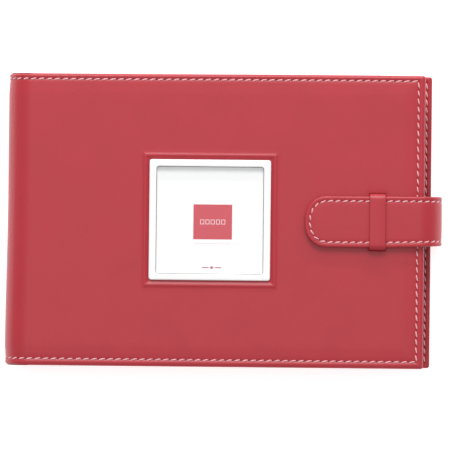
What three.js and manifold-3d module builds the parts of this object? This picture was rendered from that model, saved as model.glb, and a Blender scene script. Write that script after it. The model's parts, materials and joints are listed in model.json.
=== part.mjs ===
// A landscape stamp album, lying closed on its back cover. Millimetres, +Z up, +X from the spine
// to the fore edge, +Y towards the head. A padded leather wrap makes the back cover, the rounded
// spine and the front cover. The front cover has a framed window and a keeper loop, which holds a
// strap that comes round the fore edge. Six stamp leaves hang by their guards on a round core.
import * as THREE from "three";
import { mergeVertices } from "three/addons/utils/BufferGeometryUtils.js";
import Module from "manifold-3d";

const wasm = await Module();
wasm.setup();

// ---- driving dimensions ----
const SPINE_X = -97.2; // outermost line of the spine
const FRONT_X = 89.1; // fore edge of the front cover
const BACK_X = 92.7; // fore edge of the back cover, which stands out past the front cover
const STRAP_X = 97.2; // outermost line of the strap, where it comes round the fore edge
const HALF_HEIGHT = 65.5; // head and tail edges of the covers
const THICKNESS = 24; // closed album, from the table to the top of the front cover
const BEND = 10.5; // outer radius of the leather where it turns from a cover into the spine

const SKIN = 0.9; // outer leather
const PAD = 0.65; // foam under the leather
const LINING = 0.4; // cloth lining inside each cover
const COVER = 3.6; // whole cover
const JOINT = 1.6; // leather and lining at the bend, where there is no board
const SPINE_WALL = 2; // leather, stiffener and lining of the spine
const SPINE_LINING = 0.35; // cloth on the inside of the spine
const GAP = 0.05; // clearance between layers that lie on each other
const PAST = 1; // how far a cutting shape runs past what it cuts
const PAST_ANGLE = 0.1; // the same, in radians along a bend
const CORNER = 2.4; // cover corners, seen from above
const EDGE_ROUND = 1.5; // cover fore edge, seen from the head
const SPLIT = THREE.MathUtils.degToRad(22.5); // where a bend parts from its cover
const SPINE_SPLIT = THREE.MathUtils.degToRad(67.5); // where a bend parts from the spine
const SPLIT_GAP = THREE.MathUtils.degToRad(0.5); // clearance on each side of that parting

const THREAD_WIDTH = 0.6;
const THREAD_RISE = 0.22;
const HEAD_INSET = 2.5; // stitch line from the head edge
const TAIL_INSET = 3.1; // stitch line from the tail edge
const FORE_INSET = 3.1; // stitch line from the fore edge
const BACK_INSET = 2.4; // stitch line inside the back cover, from each edge

const WINDOW_X = -6.7; // middle of the window, which is centred between head and tail
const FRAME_OUTER = 54.2;
const FRAME_INNER = 48;
const FRAME_CORNER = 2.2; // outer corners of the frame
const INNER_CORNER = 1.2; // inner corners of the frame and its neck
const FRAME_RISE = 1.05; // how far the frame stands above the leather
const NECK_OUTER = 49.8; // the frame's neck, which goes down through the leather and foam
const NECK_CORNER = 1.6;
const NECK_LAP = 0.4; // how far the neck and the flange run into each other
const WINDOW_HOLE = 50.3; // cut-out in the leather and foam
const HOLE_CORNER = 1.8;
const PANE = 47.6;
const PANE_CORNER = 1;
const PANE_THICK = 0.4;
const INSERT_THICK = 0.25;

const STRAP_HALF = 11.4; // half the strap's width
const STRAP_TIP_X = 35.7;
const STRAP_TIP = 10.2; // length of the rounded tip
const STRAP_OUTER = 1.2; // outer leather of the strap
const STRAP_THICK = 2.55; // outer leather and lining together
const STRAP_LIFT = 0.35; // clearance between the strap and the front cover
const STRAP_TOP_BEND = 10.5; // outer radius where the strap turns onto the front cover
const TAIL_Z = 0.95; // underside of the strap where it is sewn into the back cover
const TAIL_X = 81.5; // inner end of the sewn part
const TAIL_CLEAR = 0.3; // clearance of the sewn part in the back cover
const STRAP_INSET = 2.2; // stitch line from the strap's edge

const KEEPER_X = 68.1; // middle of the keeper loop
const KEEPER_WIDTH = 7.6;
const KEEPER_HALF = 12.8; // half its length over the strap
const KEEPER_THICK = 1.1;
const KEEPER_SHOULDER = 0.6; // inner radius of the loop's shoulders
const KEEPER_CLEAR = 0.3; // clearance round the strap
const SLIT_CLEAR = 0.25; // clearance of the keeper's legs in their slits

const LEAVES = 6;
const LEAF_PITCH = 2.5;
const AXIS_X = -88.2; // the line that the leaves turn about
const AXIS_Z = THICKNESS / 2;
const CORE_RADIUS = 2.6;
const CORE_HALF = 61;
const WEB = 3; // thickness of the binding strip's upright web
const FOOT_REACH = 9.8; // how far the strip's foot reaches towards the fore edge
const FOOT_THICK = 0.45;
const LEAF_START = 9; // root edge of a leaf, from the axis
const LEAF_END = 173.2; // fore edge of a leaf, from the axis
const LEAF_HALF = 62;
const LEAF_CORNER = 1.5;
const CARD = 0.9;
const GUARD = 0.35;
const GUARD_START = 3; // where a guard leaves the core, from the axis
const GUARD_LAP = 6; // how far a guard is glued onto its leaf
const GUARD_LEAD = 0.6; // how far before the leaf's root edge a guard is already flat
const LAY = 0.02; // clearance of a strip or guard lying on a leaf
const STRIP = 0.3; // clear film of the stamp strips
const STRIP_ROWS = 4;
const STRIP_MARGIN = 7.2; // strips start this far from the leaf's root edge
const STRIP_RAIL = 2.5; // welded edge at each end of the strips
const STRIP_HEIGHT = 23;
const STRIP_GAP = 6.5;
const INTERLEAF = 0.2; // glassine sheet over each leaf
const INTERLEAF_INSET = 1.5; // how much smaller it is than the leaf on each side

const ARC_STEPS = 7;
const TIP_STEPS = 16;
const CORE_SIDES = 20;

const QUARTER = Math.PI / 2;

// ---- materials ----
function material(color, roughness, metalness = 0) {
  return new THREE.MeshStandardMaterial({ color, roughness, metalness });
}
const leather = material(0xbd4a52, 0.5);
const leatherLining = material(0xa83c46, 0.6);
const foam = material(0xd9d4c8, 0.95);
const board = material(0x8f877a, 0.9);
const cloth = material(0x8d2f38, 0.85);
const thread = material(0xf3dcdc, 0.7);
const framePlastic = material(0xf7f7f5, 0.3);
const clearFilm = material(0xe9eef0, 0.08);
const printedCard = material(0xfafafa, 0.6);
const blackCard = material(0x1d1d1f, 0.8);
const glassine = material(0xe6e4dc, 0.45);
const bindingCloth = material(0x26262a, 0.9);

// ---- geometry helpers ----
const album = new THREE.Group();

function add(name, geometry, mat, parent = album) {
  const mesh = new THREE.Mesh(geometry, mat);
  mesh.name = name;
  parent.add(mesh);
  return mesh;
}

function toSolid(geometry) {
  const bare = geometry.clone();
  bare.deleteAttribute("normal");
  bare.deleteAttribute("uv");
  const merged = mergeVertices(bare, 1e-4);
  return new wasm.Manifold(
    new wasm.Mesh({
      numProp: 3,
      vertProperties: merged.attributes.position.array,
      triVerts: new Uint32Array(merged.index.array),
    }),
  );
}

function toGeometry(solid) {
  const mesh = solid.getMesh();
  const geometry = new THREE.BufferGeometry();
  geometry.setAttribute("position", new THREE.BufferAttribute(mesh.vertProperties, 3));
  geometry.setIndex(new THREE.BufferAttribute(mesh.triVerts, 1));
  geometry.computeVertexNormals();
  return geometry;
}

function join(...geometries) {
  return toGeometry(geometries.map(toSolid).reduce((sum, next) => sum.add(next)));
}

function cut(base, ...tools) {
  return toGeometry(tools.map(toSolid).reduce((rest, tool) => rest.subtract(tool), toSolid(base)));
}

function common(a, b) {
  return toGeometry(toSolid(a).intersect(toSolid(b)));
}

function slab(x0, x1, y0, y1, z0, z1) {
  return new THREE.BoxGeometry(x1 - x0, y1 - y0, z1 - z0)
    .translate((x0 + x1) / 2, (y0 + y1) / 2, (z0 + z1) / 2);
}

function extrude(shape, depth) {
  return new THREE.ExtrudeGeometry(shape, { depth, bevelEnabled: false, curveSegments: ARC_STEPS });
}

// An outline of (x, z) points, extruded along Y over the given half width.
function alongY(points, half) {
  return extrude(new THREE.Shape(points), 2 * half).rotateX(QUARTER).translate(0, half, 0);
}

// An outline of (y, z) points, extruded along X.
function alongX(points, x0, x1) {
  const turn = new THREE.Matrix4().makeBasis(
    new THREE.Vector3(0, 1, 0),
    new THREE.Vector3(0, 0, 1),
    new THREE.Vector3(1, 0, 0),
  );
  return extrude(new THREE.Shape(points), x1 - x0).applyMatrix4(turn).translate(x0, 0, 0);
}

// A plan outline (a THREE.Shape in x and y), extruded upwards.
function upwards(shape, z0, z1) {
  return extrude(shape, z1 - z0).translate(0, 0, z0);
}

function vec(x, y) {
  return new THREE.Vector2(x, y);
}

// Points of an arc about (cx, cz), from angle a0 to a1, measured from +x towards +z.
function arc(cx, cz, radius, a0, a1) {
  return Array.from({ length: ARC_STEPS + 1 }, (_, i) => {
    const a = a0 + ((a1 - a0) * i) / ARC_STEPS;
    return vec(cx + radius * Math.cos(a), cz + radius * Math.sin(a));
  });
}

function roundedRect(cx, cy, width, height, radius, Outline = THREE.Shape) {
  const x = cx - width / 2 + radius;
  const y = cy - height / 2 + radius;
  const w = width - 2 * radius;
  const h = height - 2 * radius;
  return new Outline()
    .absarc(x + w, y, radius, -QUARTER, 0)
    .absarc(x + w, y + h, radius, 0, QUARTER)
    .absarc(x, y + h, radius, QUARTER, 2 * QUARTER)
    .absarc(x, y, radius, 2 * QUARTER, 3 * QUARTER)
    .closePath();
}

function ring(outer, inner, z0, z1) {
  outer.holes.push(inner);
  return upwards(outer, z0, z1);
}

// ---- the leather wrap: covers and spine ----
const BEND_X = SPINE_X + BEND; // where the flat of a cover ends and its bend begins

// Points of the bend, a given depth below the leather's outer surface. Angle 0 is the cover's end
// of the bend and a quarter turn is the spine's end.
function bend(front, depth, a0, a1) {
  const radius = BEND - depth;
  return Array.from({ length: ARC_STEPS + 1 }, (_, i) => {
    const a = a0 + ((a1 - a0) * i) / ARC_STEPS;
    const z = BEND - radius * Math.cos(a);
    return vec(BEND_X - radius * Math.sin(a), front ? THICKNESS - z : z);
  });
}

function level(front, depth) {
  return front ? THICKNESS - depth : depth;
}

function coverPlan(foreX) {
  const x0 = SPINE_X - BEND; // its corners at this end lie outside the cover
  const width = foreX - x0;
  return roundedRect(x0 + width / 2, 0, width, 2 * HALF_HEIGHT, CORNER);
}

// One cover's leather: a tray whose edges are turned in round the board, open on the inside, with
// its share of the bend.
function coverSkin(front, foreX) {
  const edge = SPLIT - SPLIT_GAP;
  const round = foreX - EDGE_ROUND;
  const rounded = arc(round, 0, EDGE_ROUND, 0, QUARTER)
    .map((p) => vec(p.x, level(front, EDGE_ROUND - p.y)));
  const outer = alongY([
    vec(foreX, level(front, COVER)),
    ...rounded,
    ...bend(front, 0, 0, edge),
    ...bend(front, JOINT, edge, 0),
    vec(BEND_X, level(front, COVER)),
  ], HALF_HEIGHT);
  const hollow = alongY([
    vec(foreX - SKIN, level(front, COVER + PAST)),
    vec(foreX - SKIN, level(front, SKIN)),
    ...bend(front, SKIN, 0, SPLIT + PAST_ANGLE),
    ...bend(front, JOINT + PAST, SPLIT + PAST_ANGLE, 0),
    vec(BEND_X, level(front, COVER + PAST)),
  ], HALF_HEIGHT - SKIN);
  const plan = upwards(coverPlan(foreX), -PAST, THICKNESS + PAST);
  return cut(common(outer, plan), hollow);
}

// The cloth lining: flat inside the cover, round the board's spine edge and along the bend.
function coverLining(front, foreX) {
  const edge = SPLIT - SPLIT_GAP;
  const foreEnd = foreX - SKIN - GAP;
  return alongY([
    vec(foreEnd, level(front, COVER)),
    vec(BEND_X, level(front, COVER)),
    ...bend(front, JOINT, 0, edge),
    ...bend(front, SKIN + GAP, edge, 0),
    vec(BEND_X + LINING, level(front, SKIN + GAP)),
    vec(BEND_X + LINING, level(front, COVER - LINING)),
    vec(foreEnd, level(front, COVER - LINING)),
  ], HALF_HEIGHT - SKIN - GAP);
}

// A flat layer of a cover, between two depths below the leather's outer surface.
function coverLayer(front, foreX, top, bottom) {
  const [z0, z1] = [level(front, top), level(front, bottom)].sort((a, b) => a - b);
  const half = HALF_HEIGHT - SKIN - GAP;
  return slab(BEND_X + LINING + GAP, foreX - SKIN - GAP, -half, half, z0, z1);
}

const PAD_TOP = SKIN + GAP;
const PAD_BOTTOM = PAD_TOP + PAD;
const BOARD_TOP = PAD_BOTTOM + GAP;
const BOARD_BOTTOM = COVER - LINING - GAP;

// ---- stitch lines ----
// A flat line of thread round three sides of a cover or strap, open towards the spine or bend.
function threadLine(outline, inner, z) {
  return cut(upwards(outline, z, z + THREAD_RISE), upwards(inner, z - PAST, z + THREAD_RISE + PAST));
}

function coverThread(foreX, headInset, tailInset, foreInset, z) {
  const half = THREAD_WIDTH / 2;
  const x0 = BEND_X;
  const lineTop = HALF_HEIGHT - headInset;
  const lineBottom = -HALF_HEIGHT + tailInset;
  const lineFore = foreX - foreInset;
  const outline = new THREE.Shape([
    vec(x0, lineBottom - half),
    vec(lineFore + half, lineBottom - half),
    vec(lineFore + half, lineTop + half),
    vec(x0, lineTop + half),
  ]);
  const inner = new THREE.Shape([
    vec(x0 - PAST, lineBottom + half),
    vec(lineFore - half, lineBottom + half),
    vec(lineFore - half, lineTop - half),
    vec(x0 - PAST, lineTop - half),
  ]);
  return threadLine(outline, inner, z);
}

// ---- back cover ----
const tailNotch = slab(
  TAIL_X - TAIL_CLEAR, BACK_X + PAST,
  -STRAP_HALF - TAIL_CLEAR, STRAP_HALF + TAIL_CLEAR,
  SKIN, TAIL_Z + STRAP_OUTER + GAP,
);

function makeBackCover() {
  add("back_skin", cut(coverSkin(false, BACK_X), tailNotch), leather);
  add("back_padding", cut(coverLayer(false, BACK_X, PAD_TOP, PAD_BOTTOM), tailNotch), foam);
  add("back_board", cut(coverLayer(false, BACK_X, BOARD_TOP, BOARD_BOTTOM), tailNotch), board);
  add("back_lining", coverLining(false, BACK_X), cloth);
  add("back_thread", coverThread(BACK_X, BACK_INSET, BACK_INSET, BACK_INSET, COVER + LAY), thread);
}

// The leaves' binding: an L-shaped strip glued to the back lining, and the round core on its edge.
function makeBinding() {
  const footBottom = COVER + LAY;
  const footTop = footBottom + FOOT_THICK;
  const webTop = AXIS_Z - CORE_RADIUS - GAP;
  const strip = alongY([
    vec(AXIS_X - WEB / 2, footBottom),
    vec(AXIS_X + FOOT_REACH, footBottom),
    vec(AXIS_X + FOOT_REACH, footTop),
    vec(AXIS_X + WEB / 2, footTop),
    vec(AXIS_X + WEB / 2, webTop),
    vec(AXIS_X - WEB / 2, webTop),
  ], CORE_HALF);
  add("binding_strip", strip, bindingCloth);
  const core = new THREE.CylinderGeometry(CORE_RADIUS, CORE_RADIUS, 2 * CORE_HALF, CORE_SIDES);
  add("binding_core", core.translate(AXIS_X, 0, AXIS_Z), bindingCloth);
}

// ---- spine ----
// One layer of the spine, between two depths below the leather's outer surface.
function spineOutline(top, bottom) {
  const start = SPINE_SPLIT + SPLIT_GAP;
  return [
    ...bend(false, top, start, QUARTER),
    ...bend(true, top, QUARTER, start),
    ...bend(true, bottom, start, QUARTER),
    ...bend(false, bottom, QUARTER, start),
  ];
}

function makeSpine() {
  const wallHalf = HALF_HEIGHT - SKIN;
  const hollow = alongY([
    ...bend(false, SKIN, SPINE_SPLIT - PAST_ANGLE, QUARTER),
    ...bend(true, SKIN, QUARTER, SPINE_SPLIT - PAST_ANGLE),
    ...bend(true, SPINE_WALL + PAST, SPINE_SPLIT - PAST_ANGLE, QUARTER),
    ...bend(false, SPINE_WALL + PAST, QUARTER, SPINE_SPLIT - PAST_ANGLE),
  ], wallHalf);
  const stiffenerBottom = SPINE_WALL - SPINE_LINING - GAP;
  add("spine_skin", cut(alongY(spineOutline(0, SPINE_WALL), HALF_HEIGHT), hollow), leather);
  add("spine_stiffener", alongY(spineOutline(SKIN + GAP, stiffenerBottom), wallHalf - GAP), board);
  add("spine_lining", alongY(spineOutline(SPINE_WALL - SPINE_LINING, SPINE_WALL), wallHalf - GAP), cloth);
}

// The middle of the bend between one cover and the spine: leather with its cloth lining.
function makeBend(front, name) {
  const [start, end] = [SPLIT + SPLIT_GAP, SPINE_SPLIT - SPLIT_GAP];
  const layer = (top, bottom, past, half) => alongY([
    ...bend(front, top, start - past, end + past),
    ...bend(front, bottom, end + past, start - past),
  ], half);
  const wallHalf = HALF_HEIGHT - SKIN;
  const hollow = layer(SKIN, JOINT + PAST, PAST_ANGLE, wallHalf);
  add(`${name}_skin`, cut(layer(0, JOINT, 0, HALF_HEIGHT), hollow), leather);
  add(`${name}_lining`, layer(SKIN + GAP, JOINT, 0, wallHalf - GAP), cloth);
}

// ---- front cover ----
function windowCut() {
  const bottom = level(true, BOARD_TOP - GAP / 2);
  return upwards(roundedRect(WINDOW_X, 0, WINDOW_HOLE, WINDOW_HOLE, HOLE_CORNER), bottom, THICKNESS + PAST);
}

function keeperSlits() {
  const halfWidth = KEEPER_WIDTH / 2 + SLIT_CLEAR;
  const inner = KEEPER_HALF - KEEPER_THICK - SLIT_CLEAR;
  const outer = KEEPER_HALF + SLIT_CLEAR;
  return [-1, 1].map((side) => {
    const [y0, y1] = [side * inner, side * outer].sort((a, b) => a - b);
    const z0 = level(true, BOARD_TOP - GAP / 2);
    return slab(KEEPER_X - halfWidth, KEEPER_X + halfWidth, y0, y1, z0, THICKNESS + PAST);
  });
}

function makeFrontCover() {
  const hole = windowCut();
  const slits = keeperSlits();
  add("front_skin", cut(coverSkin(true, FRONT_X), hole, ...slits), leather);
  add("front_padding", cut(coverLayer(true, FRONT_X, PAD_TOP, PAD_BOTTOM), hole, ...slits), foam);
  add("front_board", coverLayer(true, FRONT_X, BOARD_TOP, BOARD_BOTTOM), board);
  add("front_lining", coverLining(true, FRONT_X), cloth);
  const line = coverThread(FRONT_X, HEAD_INSET, TAIL_INSET, FORE_INSET, THICKNESS + LAY);
  add("front_thread", line, thread);
}

// The window: a frame with a neck, a clear pane in the neck and a printed card under the pane.
function makeWindow() {
  const seat = level(true, BOARD_TOP) + GAP;
  const flangeBottom = THICKNESS + GAP;
  const flangeTop = THICKNESS + FRAME_RISE;
  const flange = ring(
    roundedRect(WINDOW_X, 0, FRAME_OUTER, FRAME_OUTER, FRAME_CORNER),
    roundedRect(WINDOW_X, 0, FRAME_INNER, FRAME_INNER, INNER_CORNER, THREE.Path),
    flangeBottom, flangeTop,
  );
  const neck = ring(
    roundedRect(WINDOW_X, 0, NECK_OUTER, NECK_OUTER, NECK_CORNER),
    roundedRect(WINDOW_X, 0, FRAME_INNER, FRAME_INNER, INNER_CORNER, THREE.Path),
    seat, flangeBottom + NECK_LAP,
  );
  add("window_frame", join(flange, neck), framePlastic);
  const insertTop = seat + INSERT_THICK;
  const paneBottom = insertTop + GAP;
  const paneTop = paneBottom + PANE_THICK;
  const sheet = () => roundedRect(WINDOW_X, 0, PANE, PANE, PANE_CORNER);
  add("insert_card", upwards(sheet(), seat, insertTop), printedCard);
  add("window_pane", upwards(sheet(), paneBottom, paneTop), clearFilm);
}

// ---- strap and keeper ----
const STRAP_TOP = THICKNESS + STRAP_LIFT + STRAP_THICK;
const LOW_BEND = STRAP_X - BACK_X; // outer radius where the strap turns up at the back cover
const LOW_BEND_Z = TAIL_Z + LOW_BEND;
const TOP_BEND_X = STRAP_X - STRAP_TOP_BEND;
const TOP_BEND_Z = STRAP_TOP - STRAP_TOP_BEND;

function makeKeeper() {
  const foot = level(true, BOARD_TOP) + GAP;
  const innerHalf = KEEPER_HALF - KEEPER_THICK;
  const innerTop = STRAP_TOP + KEEPER_CLEAR;
  const top = innerTop + KEEPER_THICK;
  const inner = KEEPER_SHOULDER;
  const outer = inner + KEEPER_THICK;
  const loop = alongX([
    vec(KEEPER_HALF, foot),
    ...arc(KEEPER_HALF - outer, top - outer, outer, 0, QUARTER),
    ...arc(-KEEPER_HALF + outer, top - outer, outer, QUARTER, 2 * QUARTER),
    vec(-KEEPER_HALF, foot),
    vec(-innerHalf, foot),
    ...arc(-innerHalf + inner, innerTop - inner, inner, 2 * QUARTER, QUARTER),
    ...arc(innerHalf - inner, innerTop - inner, inner, QUARTER, 0),
    vec(innerHalf, foot),
  ], KEEPER_X - KEEPER_WIDTH / 2, KEEPER_X + KEEPER_WIDTH / 2);
  add("keeper_loop", loop, leather);
}

// Where the strap turns up from the back cover: angle -90 degrees is its flat end.
function lowBend(depth, a0, a1) {
  return arc(BACK_X, LOW_BEND_Z, LOW_BEND - depth, a0, a1);
}

// Where the strap turns onto the front cover: angle 90 degrees is its flat end.
function topBend(depth, a0, a1) {
  return arc(TOP_BEND_X, TOP_BEND_Z, STRAP_TOP_BEND - depth, a0, a1);
}

// Plan outline of the strap's flat part, with its rounded tip, drawn in from the edge by inset.
function strapPlan(inset, x1) {
  const half = STRAP_HALF - inset;
  const reach = STRAP_TIP - inset;
  const rootX = STRAP_TIP_X + STRAP_TIP;
  const tip = Array.from({ length: TIP_STEPS + 1 }, (_, i) => {
    const a = QUARTER - (Math.PI * i) / TIP_STEPS;
    const blunt = 0.88; // under 1 squares the tip off a little
    const along = reach * Math.pow(Math.cos(a), blunt);
    const across = half * Math.sign(Math.sin(a)) * Math.pow(Math.abs(Math.sin(a)), blunt);
    return vec(rootX - along, across);
  });
  return new THREE.Shape([vec(x1, half), ...tip, vec(x1, -half)]);
}

function makeStrap() {
  const before = SPLIT - SPLIT_GAP;
  const after = SPLIT + SPLIT_GAP;
  const linerTop = STRAP_OUTER + GAP;
  const lowMid = -QUARTER + before;
  const lowNext = -QUARTER + after;

  add("strap_tail", alongY([
    vec(TAIL_X, TAIL_Z),
    ...lowBend(0, -QUARTER, lowMid),
    ...lowBend(STRAP_OUTER, lowMid, -QUARTER),
    vec(TAIL_X, TAIL_Z + STRAP_OUTER),
  ], STRAP_HALF), leather);

  const wall = (top, bottom) => alongY([
    ...lowBend(top, lowNext, 0),
    ...topBend(top, 0, before),
    ...topBend(bottom, before, 0),
    ...lowBend(bottom, 0, lowNext),
  ], STRAP_HALF);
  add("strap_wall", wall(0, STRAP_OUTER), leather);
  add("strap_wall_lining", wall(linerTop, STRAP_THICK), leatherLining);

  const plan = upwards(strapPlan(0, STRAP_X), 0, STRAP_TOP + PAST);
  const tongue = (top, bottom) => common(alongY([
    ...topBend(top, after, QUARTER),
    vec(STRAP_TIP_X - PAST, STRAP_TOP - top),
    vec(STRAP_TIP_X - PAST, STRAP_TOP - bottom),
    ...topBend(bottom, QUARTER, after),
  ], STRAP_HALF + PAST), plan);
  add("strap_tongue", tongue(0, STRAP_OUTER), leather);
  add("strap_tongue_lining", tongue(linerTop, STRAP_THICK), leatherLining);

  const half = THREAD_WIDTH / 2;
  const line = threadLine(
    strapPlan(STRAP_INSET - half, TOP_BEND_X),
    strapPlan(STRAP_INSET + half, TOP_BEND_X + PAST),
    STRAP_TOP + LAY,
  );
  add("strap_thread", line, thread);
}

// ---- leaves ----
// The clear stamp strips of one side of a leaf: level rows between two welded rails.
function stripLadder(z0) {
  const x0 = LEAF_START + STRIP_MARGIN;
  const x1 = LEAF_END - STRIP_RAIL;
  const half = (STRIP_ROWS * STRIP_HEIGHT + (STRIP_ROWS - 1) * STRIP_GAP) / 2;
  const slots = Array.from({ length: STRIP_ROWS - 1 }, (_, row) => {
    const y0 = -half + (row + 1) * STRIP_HEIGHT + row * STRIP_GAP;
    return slab(x0 + STRIP_RAIL, x1 - STRIP_RAIL, y0, y0 + STRIP_GAP, z0 - PAST, z0 + PAST);
  });
  return cut(slab(x0, x1, -half, half, z0, z0 + STRIP), ...slots);
}

// A guard: cloth that runs straight out from the core and is then glued flat on the leaf.
function guardOutline(offset) {
  const layZ = offset + CARD / 2 + LAY + GUARD / 2;
  const kink = vec(LEAF_START - GUARD_LEAD, layZ);
  const out = kink.clone().normalize();
  const root = out.clone().multiplyScalar(GUARD_START);
  const side = vec(-out.y, out.x).multiplyScalar(GUARD / 2);
  const bisector = vec(side.x, side.y + GUARD / 2).normalize();
  const mitre = bisector.clone().multiplyScalar(GUARD / 2 / (bisector.y || 1));
  const lap = LEAF_START + GUARD_LAP;
  return [
    root.clone().sub(side),
    kink.clone().sub(mitre),
    vec(lap, layZ - GUARD / 2),
    vec(lap, layZ + GUARD / 2),
    kink.clone().add(mitre),
    root.clone().add(side),
  ];
}

function makeLeaf(number) {
  // Leaf 1 lies on top. A leaf keeps its distance from the axis as it turns.
  const offset = ((LEAVES + 1) / 2 - number) * LEAF_PITCH;
  const leaf = new THREE.Group();
  leaf.position.set(AXIS_X, 0, AXIS_Z);
  album.add(leaf);
  const top = offset + CARD / 2;
  const bottom = offset - CARD / 2;
  const width = LEAF_END - LEAF_START;
  const plan = roundedRect(LEAF_START + width / 2, 0, width, 2 * LEAF_HALF, LEAF_CORNER);
  add("leaf_guard_" + number, alongY(guardOutline(offset), CORE_HALF), bindingCloth, leaf);
  add("leaf_card_" + number, upwards(plan, bottom, top), blackCard, leaf);
  add("strips_front_" + number, stripLadder(top + LAY), clearFilm, leaf);
  add("strips_back_" + number, stripLadder(bottom - LAY - STRIP), clearFilm, leaf);
  const sheetZ = top + LAY + GUARD + GAP;
  const sheetHalf = LEAF_HALF - INTERLEAF_INSET;
  const sheet = slab(
    LEAF_START + INTERLEAF_INSET, LEAF_END - INTERLEAF_INSET,
    -sheetHalf, sheetHalf,
    sheetZ, sheetZ + INTERLEAF,
  );
  add("interleaf_" + number, sheet, glassine, leaf);
}

makeBackCover();
makeBinding();
makeSpine();
makeBend(false, "lower_bend");
makeBend(true, "upper_bend");
makeFrontCover();
makeWindow();
makeKeeper();
makeStrap();
for (let number = 1; number <= LEAVES; number += 1) makeLeaf(number);

export default album;
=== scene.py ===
"""Looks of the stamp album: the leather wrap with its stitches and linings, the framed window, the
strap and its keeper, and the leaves inside. Lengths are in metres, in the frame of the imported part."""

import json
import math

import bmesh
import bpy
import numpy as np
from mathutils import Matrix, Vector


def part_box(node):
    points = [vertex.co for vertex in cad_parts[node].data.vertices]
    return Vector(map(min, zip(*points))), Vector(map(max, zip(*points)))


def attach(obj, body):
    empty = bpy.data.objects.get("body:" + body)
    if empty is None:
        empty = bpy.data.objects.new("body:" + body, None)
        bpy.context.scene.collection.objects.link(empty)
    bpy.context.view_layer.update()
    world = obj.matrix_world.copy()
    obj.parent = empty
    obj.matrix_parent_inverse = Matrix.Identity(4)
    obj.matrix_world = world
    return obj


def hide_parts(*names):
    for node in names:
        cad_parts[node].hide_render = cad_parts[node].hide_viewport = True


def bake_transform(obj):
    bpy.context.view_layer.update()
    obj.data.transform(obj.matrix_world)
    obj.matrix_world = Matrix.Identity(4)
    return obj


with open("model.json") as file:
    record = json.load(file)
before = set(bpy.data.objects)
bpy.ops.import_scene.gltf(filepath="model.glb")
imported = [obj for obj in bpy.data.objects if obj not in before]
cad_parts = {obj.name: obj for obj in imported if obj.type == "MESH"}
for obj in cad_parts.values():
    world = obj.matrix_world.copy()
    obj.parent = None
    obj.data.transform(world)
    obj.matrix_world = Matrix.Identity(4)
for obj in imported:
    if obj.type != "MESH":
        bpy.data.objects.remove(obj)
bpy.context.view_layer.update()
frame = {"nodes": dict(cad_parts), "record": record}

MM = 0.001
QUARTER = math.pi / 2

# ---- sizes that the frame gives ----
front_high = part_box("front_skin")[1]
back_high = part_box("back_skin")[1]
spine_low, spine_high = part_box("spine_skin")
thread_low, thread_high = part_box("front_thread")
back_thread_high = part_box("back_thread")[1]
frame_low, frame_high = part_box("window_frame")
pane_low, pane_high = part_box("window_pane")
card_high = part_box("insert_card")[1]
keeper_low, keeper_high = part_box("keeper_loop")
tail_low, tail_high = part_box("strap_tail")
tongue_low, tongue_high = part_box("strap_tongue")
wall_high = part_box("strap_wall")[1]
core_low, core_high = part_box("binding_core")
board_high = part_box("front_board")[1]

TOP = front_high.z  # outside of the front cover, above the table
HALF = front_high.y  # half the height from tail to head
SPINE = spine_low.x  # outside of the spine
THREAD = 0.6 * MM  # width of the frame's plain bands of thread
WINDOW_X = (frame_low.x + frame_high.x) / 2
FRAME_HALF = (frame_high.y - frame_low.y) / 2

# ---- the leather wrap ----
BEND = 10.5 * MM  # outer radius where a cover turns into the spine
BEND_X = SPINE + BEND
COVER = 3.6 * MM  # thickness of a cover
JOINT = 1.6 * MM  # thickness at the bends
SPINE_WALL = spine_high.x - SPINE  # thickness at the spine
CORNER = 1.1 * MM  # radius of the fore corners in plan
SKEW = 0.85 * MM  # how far the soft spine stands out further at the tail than at the head
SKEW_SPAN = (-10 * MM, 62 * MM)  # where the skew starts and is full, towards the tail
SKEW_REACH = 40 * MM  # how far it runs out onto the covers
HEAD_DIP = 0.5 * MM  # how much shorter the covers are at the head of the spine
DIP_SPAN = (30 * MM, 170 * MM)  # from the fore edge, where the dip starts and is full
OUTER_ROUND = 1.35 * MM  # edge towards the outside
INNER_ROUND = 0.8 * MM  # edge towards the inside
PANEL = 8 * MM  # width of the leather turned in round the lining
LINING = 0.3 * MM
STITCH = 3.57 * MM  # from one stitch to the next on the covers
STRAP_STITCH = 3.33 * MM
POCKET = board_high.z  # the board's top, where the window and the keeper's legs end
SLOT_DEPTHS = (0.9 * MM, 2.3 * MM)  # the slot in the back cover's edge that the strap comes out of
SLOT_REACH = 9 * MM
SLOT_HALF = tail_high.y + 0.25 * MM
SLOT_EDGE = 0.45 * MM  # rounding of the back cover's edge over the slot

# relief of the leather's outer face: height and width
PADDING = (0.34 * MM, 7 * MM)  # the padding's fall towards the stitches
STITCH_DENT = (0.24 * MM, 0.55 * MM)
EDGE_RIDGE = (0.16 * MM, 0.7 * MM)
WINDOW_RIDGE = (0.42 * MM, 0.75 * MM)
WINDOW_DENT = (0.3 * MM, 0.5 * MM)
EDGE_RIDGE_OUT = 1.35 * MM  # from the stitches
WINDOW_RIDGE_OUT = 1.9 * MM  # from the window frame
FRAME_HOLE = 1.9 * MM  # from the frame's edge in to the edge of the leather under it
KEEPER_LEG = 0.55 * MM  # from the keeper's side to the middle of its leg

# extra grid lines, in millimetres from the seam in a bend and from the bend's start
SEAM_LINES = (-0.4, -0.08, 0.08, 0.4)
BEND_LINES = (-1.2, -0.7, -0.2, 0.3, 0.8)


def smooth(value, start, end):
    """0 before start, 1 after end, and a smooth step between them."""
    t = np.clip((value - start) / (end - start), 0, 1)
    return t * t * (3 - 2 * t)


def spine_skew(y):
    """How far the spine is pushed out at this y."""
    return SKEW * smooth(-y, *SKEW_SPAN)


def bump(value, width):
    return np.exp(-((value / width) ** 2))


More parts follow.
